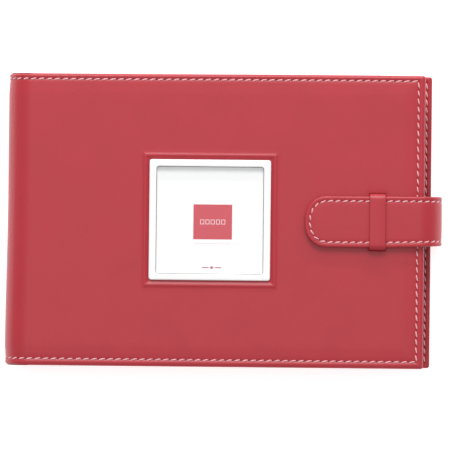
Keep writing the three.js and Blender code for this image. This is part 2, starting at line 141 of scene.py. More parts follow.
def rounding(inset, radius):
    """How far a rounded edge lies below the face beside it, at this distance from the edge."""
    short = radius - np.minimum(inset, radius)
    return radius - np.sqrt(np.maximum(radius**2 - short**2, 0))


def lines(low, high, pitch, extra=()):
    """Sorted grid lines from low to high, with the extra ones and no two nearly alike."""
    wanted = [float(v) for v in extra if low <= v <= high]
    even = np.linspace(low, high, max(1, round((high - low) / pitch)) + 1)
    clear = [v for v in even if all(abs(v - w) > 0.35 * pitch for w in wanted)]
    out = []
    for v in sorted([low, high, *wanted, *clear]):
        if not out or v - out[-1] > 1e-6:
            out.append(v)
    return np.array(out)


def run_along(path):
    """How far along a path each of its points lies."""
    return np.concatenate([[0], np.cumsum(np.linalg.norm(np.diff(path, axis=0), axis=1))])


class Wrap:
    """Half of the wrap, laid flat: a cover, its bend and half the spine. s runs from the fore edge to
    the middle of the spine, y from tail to head, and depth goes inwards from the leather's face.
    Each half is made in two spans, which meet at the seam in the middle of the bend."""

    def __init__(self, front, fore_edge, insets):
        self.front = front
        self.fore_edge = fore_edge
        self.flat = fore_edge - BEND_X
        self.bend_end = self.flat + BEND * QUARTER
        self.length = self.bend_end + TOP / 2 - BEND
        self.fore_inset, self.head_inset, self.tail_inset = insets
        self.seam = self.flat + BEND * QUARTER / 2
        self.cover = "front_cover" if front else "back_cover"
        self.bend_body = "upper_bend" if front else "lower_bend"
        self.spans = {"cover": (0, self.seam), "bend": (self.seam, self.length)}

    def place(self, s, y, depth):
        angle = np.clip((s - self.flat) / BEND, 0, QUARTER)
        radius = BEND - depth
        x = BEND_X - radius * np.sin(angle) + np.maximum(self.flat - s, 0)
        z = TOP - BEND + radius * np.cos(angle) - np.maximum(s - self.bend_end, 0)
        x = x - spine_skew(y) * smooth(s, self.flat - SKEW_REACH, self.bend_end)
        y = y - HEAD_DIP * smooth(y, HALF / 2, HALF) * smooth(s, *DIP_SPAN)
        return np.stack([x, y, z if self.front else TOP - z], -1)

    def wall(self, s):
        """Depth of the inner face."""
        past_board = smooth(s, self.flat - 1.2 * MM, self.flat + 0.8 * MM)
        at_spine = smooth(s, self.bend_end - 3 * MM, self.bend_end)
        return COVER + (JOINT - COVER) * past_board + (SPINE_WALL - JOINT) * at_spine

    def stitch_offset(self, s, y):
        """Distance inside the line of stitches, negative outside it."""
        beside = np.minimum(HALF - y - self.head_inset, HALF + y - self.tail_inset)
        return np.minimum(beside, s - self.fore_inset)

    def outer_depth(self, s, y):
        inset = np.minimum(np.minimum(s, HALF - np.abs(y)), 1.0)
        offset = self.stitch_offset(s, y)
        depth = rounding(inset, self.edge_round(s, y))
        depth += PADDING[0] * (1 - smooth(offset, 0, PADDING[1]))
        depth += STITCH_DENT[0] * bump(offset, STITCH_DENT[1])
        depth -= EDGE_RIDGE[0] * bump(offset + EDGE_RIDGE_OUT, EDGE_RIDGE[1])
        if self.front:
            x = self.fore_edge - s
            ring = np.maximum(np.abs(x - WINDOW_X), np.abs(y)) - FRAME_HALF
            depth -= WINDOW_RIDGE[0] * bump(ring - WINDOW_RIDGE_OUT, WINDOW_RIDGE[1])
            depth += WINDOW_DENT[0] * bump(ring - 0.1 * MM, WINDOW_DENT[1])
            depth = np.where(ring < -FRAME_HOLE, TOP - POCKET, depth)
            side = np.abs(np.abs(y) - (keeper_high.y - KEEPER_LEG))
            along = np.abs(x - (keeper_low.x + keeper_high.x) / 2)
            half = (keeper_high.x - keeper_low.x) / 2
            slit = (along < half - 0.1 * MM) & (side < 0.65 * MM)
            pinch = bump(side, 1.4 * MM) * bump(np.maximum(along - half, 0), 1.0 * MM)
            depth = np.where(slit, TOP - POCKET, depth + 0.22 * MM * pinch)
        return depth

    def edge_round(self, s, y):
        if self.front:
            return OUTER_ROUND
        by_slot = smooth(np.abs(y), SLOT_HALF - 0.1 * MM, SLOT_HALF + 0.6 * MM)
        by_slot = np.maximum(by_slot, smooth(s, 4 * MM, 6 * MM))
        return SLOT_EDGE + (OUTER_ROUND - SLOT_EDGE) * by_slot

    def inner_depth(self, s, y):
        inset = np.minimum(s, HALF - np.abs(y))
        depth = self.wall(s) - rounding(inset, INNER_ROUND)
        depth -= 0.18 * MM * bump(self.stitch_offset(s, y), 0.5 * MM)
        return depth - (LINING + 0.05 * MM) * smooth(inset, PANEL, PANEL + 0.15 * MM)

    def grid(self, span):
        edge = [OUTER_ROUND * (1 - math.cos(QUARTER * i / 6)) for i in range(7)]
        beyond = [1.9 * MM, CORNER, PANEL, PANEL + 0.15 * MM]
        near = lambda inset: [inset + d * MM for d in (-0.9, -0.5, -0.2, 0, 0.2, 0.5, 0.9)]
        extra_s = edge + beyond + near(self.fore_inset)
        extra_s += [self.flat + d * MM for d in BEND_LINES] + [self.seam + d * MM for d in SEAM_LINES]
        extra_y = [HALF - v for v in near(self.head_inset)] + [v - HALF for v in near(self.tail_inset)]
        mirrored = [HALF - v for v in edge + beyond]
        if self.front:
            window = [FRAME_HALF + d * MM
                      for d in (-1.95, -1.85, -0.3, 0.1, 0.5, 1.0, 1.45, 1.9, 2.35, 2.8, 3.4)]
            extra_s += [self.fore_edge - WINDOW_X + sign * v for v in window for sign in (-1, 1)]
            for x, side in ((keeper_low.x, -1), (keeper_high.x, 1)):
                extra_s += [self.fore_edge - x - side * d * MM for d in (-0.15, -0.05)]
            mirrored += window + [keeper_high.y - KEEPER_LEG + d * MM for d in (-0.7, -0.6, 0.6, 0.7)]
        else:
            mirrored += [SLOT_HALF + d * MM for d in (-0.05, 0.05, 0.5)]
        extra_y += [sign * v for v in mirrored for sign in (-1, 1)]
        return lines(*span, 1.5 * MM, extra_s), lines(-HALF, HALF, 1.5 * MM, extra_y)

    def rounded_plan(self, s, y):
        """Moves the points near the two fore corners onto the rounded corners."""
        p = np.maximum(CORNER - s, 0)
        q = np.maximum(CORNER - (HALF - np.abs(y)), 0)
        both = (p > 0) & (q > 0)
        scale = np.where(both, np.maximum(p, q) / np.maximum(np.hypot(p, q), 1e-12), 1)
        new_s = np.where(both, CORNER - p * scale, s)
        new_y = np.where(both, np.sign(y) * (HALF - CORNER + q * scale), y)
        return new_s, new_y

    def shell(self, name, mat, span):
        s_lines, y_lines = self.grid(span)
        ns, ny = len(s_lines), len(y_lines)
        s, y = np.meshgrid(s_lines, y_lines, indexing="ij")
        flat_s, flat_y = self.rounded_plan(s, y)
        points = [np.stack([flat_s, flat_y, depth], -1).reshape(-1, 3)
                  for depth in (self.outer_depth(s, y), self.inner_depth(s, y))]
        outer = np.arange(ns * ny).reshape(ns, ny)
        inner = outer + ns * ny
        faces = grid_faces(outer) + grid_faces(inner)
        rim = [(i, 0) for i in range(ns - 1, 0, -1)] + [(0, j) for j in range(ny)]
        rim += [(i, ny - 1) for i in range(1, ns)]
        rows, start = [[outer[i, j] for i, j in rim]], 2 * ns * ny
        wall_points = []
        for step in range(1, 5):
            row = []
            for i, j in rim:
                low, high = points[0][outer[i, j]], points[1][outer[i, j]]
                spot = low + (high - low) * step / 5
                if not self.front and s_lines[i] == 0 and abs(y_lines[j]) < SLOT_HALF:
                    reach = SLOT_REACH if step in (2, 3) else 0
                    spot = np.array([reach, y_lines[j], SLOT_DEPTHS[0 if step < 3 else 1]])
                row.append(start + len(wall_points))
                wall_points.append(spot)
            rows.append(row)
        rows.append([inner[i, j] for i, j in rim])
        for a, b in zip(rows, rows[1:]):
            faces += [[a[k], a[k + 1], b[k + 1], b[k]] for k in range(len(rim) - 1)]
        for j in range(ny - 1):
            tail = [rows[r][0] for r in range(1, 5)] if j == 0 else []
            head = [rows[r][-1] for r in range(4, 0, -1)] if j == ny - 2 else []
            faces.append([outer[-1, j], *tail, inner[-1, j], inner[-1, j + 1], *head, outer[-1, j + 1]])
        laid = np.concatenate(points + [np.array(wall_points)])
        return mesh_piece(name, self.place(*laid.T), faces, mat, laid=self.laid(laid))

    def laid(self, points):
        """Flat coordinates that run on from one half of the wrap to the other."""
        side = 1 if self.front else -1
        return np.stack([side * (self.length - points[:, 0]), points[:, 1], points[:, 2]], -1)

    def sheet(self, name, mat, span):
        """The cloth lining inside the turned-in leather."""
        inset = PANEL + 0.25 * MM
        extra = [inset + d * MM for d in (0.2, 0.5)] + [self.flat + d * MM for d in BEND_LINES]
        extra += [self.seam + d * MM for d in SEAM_LINES]
        s_lines = lines(max(inset, span[0]), span[1], 1.5 * MM, extra)
        y_edge = HALF - inset
        y_lines = lines(-y_edge, y_edge, 3 * MM, [-y_edge + 0.3 * MM, y_edge - 0.3 * MM])
        s, y = np.meshgrid(s_lines, y_lines, indexing="ij")
        near = np.minimum(s - inset, y_edge - np.abs(y))
        top = self.wall(s) - 0.02 * MM - 0.12 * MM * bump(near, 0.3 * MM)
        points = np.concatenate([np.stack([s, y, d], -1).reshape(-1, 3) for d in (top - LINING, top)])
        faces = slab_faces(len(s_lines), len(y_lines))
        return mesh_piece(name, self.place(*points.T), faces, mat, laid=self.laid(points))

    def blend(self, piece, part):
        if part == "cover":
            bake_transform(piece)
        else:
            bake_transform(piece)

    def stitches(self, name, outside, mat, hole_shade_mat, part):
        """The stitches of one face, round its three free sides, and near-black patches of painted shade at
        the needle holes between them.
        """
        fore, head, tail = self.fore_inset, HALF - self.head_inset, self.tail_inset - HALF
        if part == "cover":
            rows = [((self.seam, head), (fore, head)), ((fore, head), (fore, tail)),
                    ((fore, tail), (self.seam, tail))]
        else:
            rows = [((self.length, head), (self.seam, head)), ((self.seam, tail), (self.length, tail))]
        if outside:
            face = lambda s, y: self.outer_depth(s, y) - 0.02 * MM
            lift = -1
        else:
            face = lambda s, y: self.inner_depth(s, y) + 0.02 * MM
            lift = 1
        lift_by = 0.1 * MM if self.front or not outside else -0.02 * MM
        laid, faces, holes, hole_faces = make_stitches(rows, STITCH, face, lift, lift_by)
        thread = mesh_piece(name, self.place(*laid.T), faces, mat, laid=self.laid(laid))
        # the dark patches at the needle holes are painted shade
        dark = mesh_piece(name + "_holes", self.place(*holes.T), hole_faces, hole_shade_mat)
        return thread, dark


def grid_faces(index):
    """Faces between the neighbouring points of a grid."""
    quads = np.stack([index[:-1, :-1], index[1:, :-1], index[1:, 1:], index[:-1, 1:]], -1)
    return quads.reshape(-1, 4).tolist()


def slab_faces(na, nb):
    """Faces of a closed slab of two na by nb grids, the second after the first."""
    low = np.arange(na * nb).reshape(na, nb)
    high = low + na * nb
    faces = grid_faces(low) + grid_faces(high)
    loop = [(i, 0) for i in range(na)] + [(na - 1, j) for j in range(1, nb)]
    loop += [(i, nb - 1) for i in range(na - 2, -1, -1)] + [(0, j) for j in range(nb - 2, 0, -1)]
    for a, b in zip(loop, loop[1:] + loop[:1]):
        faces.append([low[a], low[b], high[b], high[a]])
    return faces


def link(name, data):
    """A new object with this data, in the scene."""
    made = bpy.data.objects.new(name, data)
    bpy.context.scene.collection.objects.link(made)
    return made


def mesh_piece(name, points, faces, mat, laid=None, sharp=48, fill=False):
    """A mesh object with outward normals and smooth shading except at edges sharper than this. laid
    holds each point's place on the flat leather or cloth, which its material reads. fill closes holes."""
    mesh = bpy.data.meshes.new(name)
    mesh.from_pydata(np.asarray(points).tolist(), [], [[int(v) for v in f] for f in faces])
    if laid is not None:
        store = mesh.attributes.new("laid", "FLOAT_VECTOR", "POINT")
        store.data.foreach_set("vector", np.asarray(laid, np.float32).ravel())
    work = bmesh.new()
    work.from_mesh(mesh)
    if fill:
        bmesh.ops.holes_fill(work, edges=[e for e in work.edges if e.is_boundary], sides=0)
    bmesh.ops.recalc_face_normals(work, faces=work.faces)
    work.to_mesh(mesh)
    work.free()
    mesh.shade_smooth()
    mesh.set_sharp_from_angle(angle=math.radians(sharp))
    mesh.materials.append(mat)
    return link(name, mesh)


# ---- stitches ----
STITCH_RINGS = 9
STITCH_SIDES = 8
STITCH_REACH = 0.37  # half a stitch's length, as a share of the pitch
STITCH_SLANT = 0.26 * MM  # half of how far a stitch leans across its row
THREAD_HALF, THREAD_RISE = 0.36 * MM, 0.24 * MM  # half the thread's width and height
HOLE_ALONG, HOLE_ACROSS = 0.42 * MM, 0.33 * MM  # half a needle hole's length and width


def make_stitches(rows, pitch, face, lift, lift_by):
    """Slanted stitches along rows of (start, end) points laid flat, and a near-black patch of painted shade
    at the needle hole between each two. Returns the points and faces of both."""
    points, faces, holes, hole_faces = [], [], [], []
    for start, end in rows:
        start, end = np.array(start), np.array(end)
        run = np.linalg.norm(end - start)
        along = (end - start) / run
        across = np.array([-along[1], along[0]])
        count = max(1, round(run / pitch))
        step = run / count
        for k in range(count):
            middle = start + along * step * (k + 0.5)
            first = len(points)
            for ring in range(STITCH_RINGS):
                t = ring / (STITCH_RINGS - 1)
                swell = math.sin(math.pi * min(max(t, 0.02), 0.98)) ** 0.45
                centre = middle + (along * step * STITCH_REACH - across * STITCH_SLANT) * (2 * t - 1)
                base = face(*centre)
                arch = 0.1 * MM * (math.sin(math.pi * t) - 1.3 * (1 - swell))
                depth = float(base + lift * (lift_by + arch))
                for side in range(STITCH_SIDES):
                    a = 2 * math.pi * side / STITCH_SIDES
                    spot = centre + across * math.cos(a) * THREAD_HALF * swell
                    points.append([*spot, depth + math.sin(a) * THREAD_RISE * swell])
            faces += tube_faces(first, STITCH_RINGS, STITCH_SIDES)
        # a thin dark patch at each needle hole, painted shade for the inside of the hole
        for k in range(count + 1):
            spot = start + along * step * k
            base = float(face(*spot))
            first = len(holes)
            for side in range(STITCH_SIDES):
                a = 2 * math.pi * side / STITCH_SIDES
                rim = spot + along * math.cos(a) * HOLE_ALONG + across * math.sin(a) * HOLE_ACROSS
                holes.append([*rim, base - lift * 0.02 * MM])
            holes += [[*spot, base + lift * 0.03 * MM], [*spot, base - lift * 0.1 * MM]]
            for side in range(STITCH_SIDES):
                nxt = first + (side + 1) % STITCH_SIDES
                hole_faces += [[first + side, nxt, first + STITCH_SIDES]]
                hole_faces += [[nxt, first + side, first + STITCH_SIDES + 1]]
    return np.array(points), faces, np.array(holes), hole_faces


def tube_faces(first, rings, sides, closed=False):
    """Faces of a tube of rings, with its two ends filled unless it closes on itself."""
    faces = []
    for ring in range(rings if closed else rings - 1):
        a, b = first + ring * sides, first + (ring + 1) % rings * sides
        for side in range(sides):
            nxt = (side + 1) % sides
            faces.append([a + side, a + nxt, b + nxt, b + side])
    if not closed:
        faces.append(list(range(first, first + sides)))
        faces.append(list(range(first + (rings - 1) * sides, first + rings * sides)))
    return faces


# ---- materials ----
class Shader:
    """A node material under construction."""

    def __init__(self, name, roughness=0.5, specular=0.5, laid=True):
        self.mat = bpy.data.materials.new(name)
        self.mat.use_nodes = True
        self.nodes, self.links = self.mat.node_tree.nodes, self.mat.node_tree.links
        self.out = self.nodes["Principled BSDF"]
        self.out.inputs["Roughness"].default_value = roughness
        self.out.inputs["Specular IOR Level"].default_value = specular
        if laid:
            where = self.nodes.new("ShaderNodeAttribute")
            where.attribute_name = "laid"
            self.where = where.outputs["Vector"]
        else:
            self.where = self.nodes.new("ShaderNodeTexCoord").outputs["Object"]

    def node(self, kind, output, values, **links):
        """The output of a new node with these input values and links."""
        node = self.nodes.new("ShaderNode" + kind)
        for name, value in values.items():
            node.inputs[name].default_value = value
        for name, socket in links.items():
            self.links.new(socket, node.inputs[name])
        return node.outputs[output]

    def noise(self, scale, detail=2.0, roughness=0.5, stretch=None):
        where = self.where
        if stretch:
            where = self.node("Mapping", "Vector", {"Scale": stretch}, Vector=where)
        values = {"Scale": scale, "Detail": detail, "Roughness": roughness}
        return self.node("TexNoise", "Fac", values, Vector=where)

    def cells(self, scale):
        return self.node("TexVoronoi", "Distance", {"Scale": scale}, Vector=self.where)

    def wave(self, scale, direction, distortion):
        values = {"Scale": scale, "Distortion": distortion, "Detail": 1.0}
        fac = self.node("TexWave", "Fac", values, Vector=self.where)
        fac.node.bands_direction = direction
        return fac

    def math(self, operation, a, b):
        node = self.nodes.new("ShaderNodeMath")
        node.operation = operation
        for socket, value in zip(node.inputs, (a, b)):
            if isinstance(value, (int, float)):
                socket.default_value = value
            else:
                self.links.new(value, socket)
        return node.outputs["Value"]

    def add(self, a, by_a, b, by_b):
        """The sum of two values, each multiplied first."""
        return self.math("ADD", self.math("MULTIPLY", a, by_a), self.math("MULTIPLY", b, by_b))

    def colour(self, fac, stops):
        """Base colours along a ramp."""
        node = self.nodes.new("ShaderNodeValToRGB")
        ends = node.color_ramp.elements
        ends[0].position, ends[0].color = stops[0][0], (*stops[0][1], 1)
        ends[1].position, ends[1].color = stops[-1][0], (*stops[-1][1], 1)
        for position, colour in stops[1:-1]:
            ends.new(position).color = (*colour, 1)
        self.links.new(fac, node.inputs["Fac"])
        self.links.new(node.outputs["Color"], self.out.inputs["Base Color"])

    def rough(self, fac, low, high):
        result = self.node("MapRange", "Result", {"To Min": low, "To Max": high}, Value=fac)
        self.links.new(result, self.out.inputs["Roughness"])

    def relief(self, height, distance, strength):
        bent = self.node("Bump", "Normal", {"Distance": distance, "Strength": strength}, Height=height)
        self.links.new(bent, self.out.inputs["Normal"])


def shade(colour, by):
    return tuple(min(1.0, c * by) for c in colour)


LEATHER_RED = (0.435, 0.023, 0.036)


def leather(name, colour, roughness=0.36, laid=True):
    """Smooth finished leather: a fine pebble grain, small pores and a slight mottle."""
    s = Shader(name, roughness, 0.5, laid)
    mottle = s.noise(55, 4, 0.55)
    fine = s.noise(900, 3, 0.6)
    s.colour(s.add(mottle, 0.75, fine, 0.25),
             [(0.3, shade(colour, 0.955)), (0.5, colour), (0.72, shade(colour, 1.04))])
    s.rough(fine, roughness - 0.06, roughness + 0.08)
    s.relief(s.add(s.cells(1500), 0.6, s.noise(420, 5, 0.62), 0.8), 0.05 * MM, 0.55)
    return s.mat


def cloth(name, colour, pitch=0.36 * MM, laid=True):
    """A plain weave."""
    s = Shader(name, 0.85, 0.25, laid)
    scale = math.pi / (10 * pitch)
    weave = s.math("MULTIPLY", s.wave(scale, "X", 0.4), s.wave(scale, "Y", 0.4))
    slub = s.noise(260, 3, 0.6)
    s.colour(s.add(weave, 0.6, slub, 0.4),
             [(0.15, shade(colour, 0.62)), (0.5, colour), (0.85, shade(colour, 1.3))])
    s.relief(weave, 0.06 * MM, 0.8)
    s.out.inputs["Sheen Weight"].default_value = 0.25
    return s.mat


def waxed_thread(name):
    """Pale thread, tinted by the leather round it."""
    s = Shader(name, 0.55, 0.4)
    twist = s.wave(700, "DIAGONAL", 0.6)
    s.colour(s.add(twist, 0.5, s.noise(1800), 0.5),
             [(0.2, (0.55, 0.22, 0.25)), (0.5, (0.80, 0.42, 0.45)), (0.85, (0.93, 0.56, 0.59))])
    s.relief(twist, 0.05 * MM, 0.7)
    return s.mat


# Needle holes: near-black patches on the surface that paint the shade inside each hole.
def needle_hole_shade(name):
    s = Shader(name, 0.8, 0.2, laid=False)
    s.colour(s.noise(2500), [(0.3, (0.05, 0.008, 0.012)), (0.7, (0.10, 0.015, 0.022))])
    return s.mat


def moulded(name, colour):
    """Satin plastic with a faint unevenness."""
    s = Shader(name, 0.3, 0.5, laid=False)
    s.colour(s.noise(120, 2), [(0.3, shade(colour, 0.985)), (0.7, colour)])
    s.rough(s.noise(1500, 3), 0.26, 0.35)
    s.relief(s.noise(260, 2), 0.02 * MM, 0.25)
    return s.mat


def paper(name, colour, fibre, roughness, grain=900):
    """Paper, card or board with short fibres."""
    s = Shader(name, roughness, 0.3, laid=False)
    fibres = s.add(s.noise(grain, 4, 0.65, (1, 3.5, 1)), 0.6, s.noise(grain * 2.5, 3, 0.6), 0.4)
    s.colour(fibres, [(0.3, shade(colour, 1 - fibre)), (0.5, colour),
                      (0.7, shade(colour, 1 + fibre))])
    s.rough(fibres, roughness - 0.05, roughness + 0.1)
    s.relief(fibres, 0.03 * MM, 0.4)
    return s.mat


def clear_film(name, alpha, roughness, tint=(0.95, 0.97, 0.98), edges=()):
    """Clear film or sheet: mostly see-through, with its gloss, and less so along its long edges, partly for
    the welded seams and partly as a painted highlight along the edges.
    """
    s = Shader(name, roughness, 0.6, laid=False)
    s.colour(s.noise(40, 2), [(0.3, shade(tint, 0.97)), (0.7, tint)])
    s.rough(s.noise(300, 3), roughness * 0.7, roughness * 1.5)
    if edges:
        apart = s.nodes.new("ShaderNodeSeparateXYZ")
        s.links.new(s.where, apart.inputs["Vector"])
        gaps = [s.math("ABSOLUTE", s.math("SUBTRACT", apart.outputs["Y"], y), 0) for y in edges]
        nearest = gaps[0]
        for gap in gaps[1:]:
            nearest = s.math("MINIMUM", nearest, gap)
        # within 0.35 mm of a long edge the film is less clear and paler: partly the weld, partly a painted
        # edge highlight
        weld_and_edge_highlight = s.math("MULTIPLY", s.math("LESS_THAN", nearest, 0.35 * MM), 0.3)
        s.links.new(s.math("ADD", weld_and_edge_highlight, alpha), s.out.inputs["Alpha"])
    else:
        s.out.inputs["Alpha"].default_value = alpha
    return s.mat


def foam_rubber(name):
    s = Shader(name, 0.95, 0.1, laid=False)
    pores = s.cells(1800)
    s.colour(pores, [(0.1, (0.42, 0.39, 0.32)), (0.5, (0.66, 0.62, 0.54))])
    s.relief(pores, 0.1 * MM, 0.8)
    return s.mat


LEATHER = leather("red_leather", LEATHER_RED)
STRAP_LEATHER = leather("strap_leather", LEATHER_RED)
KEEPER_LEATHER = leather("keeper_leather", LEATHER_RED, laid=False)
STRAP_BACKING = leather("strap_lining_leather", (0.36, 0.026, 0.037), 0.55)
LINING_CLOTH = cloth("lining_cloth", (0.26, 0.030, 0.040))
BINDING_CLOTH = cloth("binding_book_cloth", (0.030, 0.030, 0.033), 0.42 * MM, laid=False)
GUARD_CLOTH = cloth("guard_book_cloth", (0.030, 0.030, 0.033), 0.42 * MM)
WHITE_THREAD = waxed_thread("waxed_thread")
HOLE_SHADE = needle_hole_shade("needle_holes")
FRAME_WHITE = moulded("frame_plastic", (0.93, 0.93, 0.92))
PANE = clear_film("window_sheet", 0.05, 0.05)
CARD = paper("coated_card", (0.95, 0.95, 0.95), 0.01, 0.5, 500)
INK_RED = paper("red_ink", (0.60, 0.023, 0.050), 0.03, 0.45)
INK_PALE = paper("pale_ink", (0.93, 0.72, 0.75), 0.02, 0.5)
INK_SOFT = paper("light_red_ink", (0.74, 0.34, 0.41), 0.02, 0.5)
INK_DARK = paper("soft_red_ink", (0.45, 0.12, 0.17), 0.03, 0.5)
BLACK_CARD = paper("black_card", (0.020, 0.020, 0.022), 0.25, 0.75)
# where the clear strips' long edges run; they show as pale lines, partly the welded seams and partly a
# painted highlight along the edges
strip_ys = {round(v.co.y, 5) for v in frame["nodes"]["strips_front_1"].data.vertices}
FILM = clear_film("strip_film", 0.05, 0.25, edges=sorted(strip_ys))
GLASSINE = clear_film("glassine_paper", 0.55, 0.4, (0.80, 0.79, 0.74))
GREYBOARD = paper("greyboard", (0.30, 0.27, 0.23), 0.12, 0.85, 600)
FOAM = foam_rubber("foam")

SLOT_MATERIALS = {
    "leather_red": KEEPER_LEATHER,
    "leather_lining": KEEPER_LEATHER,
    "foam": FOAM,
    "greyboard": GREYBOARD,
    "lining_cloth": BINDING_CLOTH,
    "thread_white": FRAME_WHITE,
    "frame_white": FRAME_WHITE,
    "pane_clear": PANE,
    "card_print": CARD,
    "binding_cloth": BINDING_CLOTH,
    "leaf_black": BLACK_CARD,
    "strip_clear": FILM,
    "glassine": GLASSINE,
}


def dress_cad_nodes():
    """Gives each CAD node its procedural material, and the leaves, strips, interleaves, insert card, pane
    and binding slightly rounded edges.
    """
    soft_edge = {"leaf_card": 0.25 * MM, "strips_": 0.06 * MM, "interleaf": 0.05 * MM,
                 "insert_card": 0.05 * MM, "window_pane": 0.08 * MM, "binding_": 0.15 * MM}
    for part in frame["record"]["subparts"]:
        node = frame["nodes"][part["node"]]
        node.data.materials.clear()
        node.data.materials.append(SLOT_MATERIALS[part["material_slot"]])
        for start, width in soft_edge.items():
            if node.name.startswith(start):
                bevel = node.modifiers.new("soft edge", "BEVEL")
                bevel.width = width
                bevel.segments = 3
                bevel.limit_method = "ANGLE"
                bevel.angle_limit = math.radians(50)


# ---- covers and spine ----
def make_covers():
    """Leather, lining and stitches of both halves of the wrap, in two spans each."""
    front = Wrap(True, front_high.x, (front_high.x - thread_high.x + THREAD / 2,
                                      HALF - thread_high.y + THREAD / 2,
                                      HALF + thread_low.y + THREAD / 2))
    inset = back_high.x - back_thread_high.x + THREAD / 2
    back = Wrap(False, back_high.x, (inset, inset, inset))
    for wrap, word in ((front, "front"), (back, "back")):
        bend = wrap.bend_body
        for part, span in wrap.spans.items():
            name = word if part == "cover" else bend
            nodes = (word, bend) if part == "cover" else (bend, "spine")
            shell = wrap.shell(name + "_leather", LEATHER, span)
            lining = wrap.sheet(name + "_cloth_lining", LINING_CLOTH, span)
            outside = wrap.stitches(name + "_outer_stitches", True, WHITE_THREAD, HOLE_SHADE, part)
            inside = wrap.stitches(name + "_inner_stitches", False, WHITE_THREAD, HOLE_SHADE, part)
            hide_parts(*(node + "_skin" for node in nodes))
            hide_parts(*(node + "_lining" for node in nodes))
            for piece in (shell, lining, *outside, *inside):
                wrap.blend(piece, part)
            if part == "cover":
                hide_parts(word + "_thread")


def make_spine_board():
    """The thin board in the flat of the spine, inside the leather, with rounded edges."""
    size = np.array([0.55 * MM, 2 * HALF - 4 * MM, TOP - 2 * BEND - 0.4 * MM])
    middle = np.array([SPINE + 1.225 * MM, 0, TOP / 2])
    work = bmesh.new()
    bmesh.ops.create_cube(work, size=1)
    for v in work.verts:
        v.co = middle + np.array(v.co) * size
    bmesh.ops.bevel(work, geom=work.edges[:], offset=0.1 * MM, segments=3, affect="EDGES", profile=0.5)
    work.verts.index_update()
    points = [(v.co.x - spine_skew(v.co.y), v.co.y, v.co.z) for v in work.verts]
    faces = [[v.index for v in face.verts] for face in work.faces]
    work.free()
    board = mesh_piece("spine_board", points, faces, GREYBOARD, sharp=40)
    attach(board, "spine")
    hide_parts("spine_stiffener")


# ---- window ----
def rounded_square(half, radius, centre_x):
    """Points round a square with rounded corners, anticlockwise from its +x, +y corner."""
    points, steps = [], 8
    for corner, (sx, sy) in enumerate(((1, 1), (-1, 1), (-1, -1), (1, -1))):
        for i in range(steps + 1):
            a = QUARTER * (corner + i / steps)
            points.append((centre_x + sx * (half - radius) + radius * math.cos(a),
                           sy * (half - radius) + radius * math.sin(a)))
    return points


def make_window():
    """The window frame, with a rounded lip inside and outside, and the print on the card."""
    inner_half = (pane_high.y - pane_low.y) / 2 + 0.2 * MM
    neck_half = FRAME_HALF - 2.2 * MM
    inner_lip, outer_lip = 0.4 * MM, 0.5 * MM
    under, top, foot = TOP + 0.05 * MM, frame_high.z, frame_low.z
    start = top - 0.45 * MM
    # (half size, corner radius, height), from the inner foot up and round to the neck
    profile = [(inner_half, 1.2 * MM, foot), (inner_half, 1.2 * MM, start)]
    for i in range(1, 6):
        a = QUARTER * i / 5
        profile.append((inner_half + inner_lip * (1 - math.cos(a)), 1.3 * MM,
                        start + inner_lip * math.sin(a)))
    profile.append(((inner_half + FRAME_HALF) / 2, 1.7 * MM, top))
    for i in range(6):
        a = QUARTER * (1 - i / 5)
        profile.append((FRAME_HALF - outer_lip * (1 - math.cos(a)), (1 + 0.2 * math.cos(a)) * MM,
                        top - outer_lip * (1 - math.sin(a)) - 0.03 * MM))
    profile += [(FRAME_HALF, 1.2 * MM, under + 0.1 * MM), (FRAME_HALF - 0.1 * MM, 1.1 * MM, under),
                (neck_half, 1.6 * MM, under), (neck_half, 1.6 * MM, foot)]
    # the tail side is a little narrower than the others
    points = [(x, y if y > -inner_half - MM else y + 0.35 * MM, z)
              for half, radius, z in profile for x, y in rounded_square(half, radius, WINDOW_X)]
    around = len(points) // len(profile)
    faces = tube_faces(0, len(profile), around, closed=True)
    made = mesh_piece("white_window_frame", points, faces, FRAME_WHITE, sharp=35)
    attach(made, "front_cover")
    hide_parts("window_frame")
    make_card_print()


def flat_print(name, outlines, z, mat):
    """A thin layer of ink in the shape of closed outlines."""
    thick = 0.02 * MM
    points, faces = [], []
    for outline in outlines:
        first, n = len(points), len(outline)
        points += [(x, y, z) for x, y in outline] + [(x, y, z + thick) for x, y in outline]
        faces += tube_faces(first, 2, n)
    piece = mesh_piece(name, points, faces, mat, sharp=30)
    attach(piece, "front_cover")
    return piece


def rect(cx, cy, w, h):
    """Outline of a rectangle."""
    return [(cx + sx * w / 2, cy + sy * h / 2) for sx, sy in ((-1, -1), (1, -1), (1, 1), (-1, 1))]


def disc(cx, cy, rx, ry, sides):
    """Outline of an ellipse with this many sides."""
    turns = [2 * math.pi * i / sides for i in range(sides)]
    return [(cx + rx * math.cos(a), cy + ry * math.sin(a)) for a in turns]


def make_card_print():
    """The card's red square with a row of blank stamps, and plain marks below it."""
    z = card_high.z + 0.003 * MM
    square_x, square_y = WINDOW_X + 1.3 * MM, -0.7 * MM
    flat_print("card_square", [rect(square_x, square_y, 17.3 * MM, 15.6 * MM)], z, INK_RED)
    stamps = []
    for i in range(5):
        cx = square_x + (i - 2) * 2.35 * MM
        w, h, line = 1.75 * MM, 2.1 * MM, 0.24 * MM
        stamps += [rect(cx, square_y + side * (h - line) / 2, w, line) for side in (-1, 1)]
        stamps += [rect(cx + side * (w - line) / 2, square_y, line, h - 2 * line) for side in (-1, 1)]
    flat_print("card_blank_stamps", stamps, z + 0.02 * MM, INK_PALE)
    dot = 0.17 * MM
    dots = [disc(square_x + (i - 13) * 0.62 * MM, -10.4 * MM, dot, dot, 8) for i in range(27)]
    flat_print("card_dotted_line", dots, z, INK_SOFT)
    mark_x, mark_y = WINDOW_X + 1.0 * MM, -21.1 * MM
    lozenge = disc(mark_x, mark_y, 1.0 * MM, 0.75 * MM, 4)
    rules = [rect(mark_x + side * 2.9 * MM, mark_y, 3.0 * MM, 0.5 * MM) for side in (-1, 1)]
    flat_print("card_small_mark", [lozenge, *rules], z, INK_DARK)


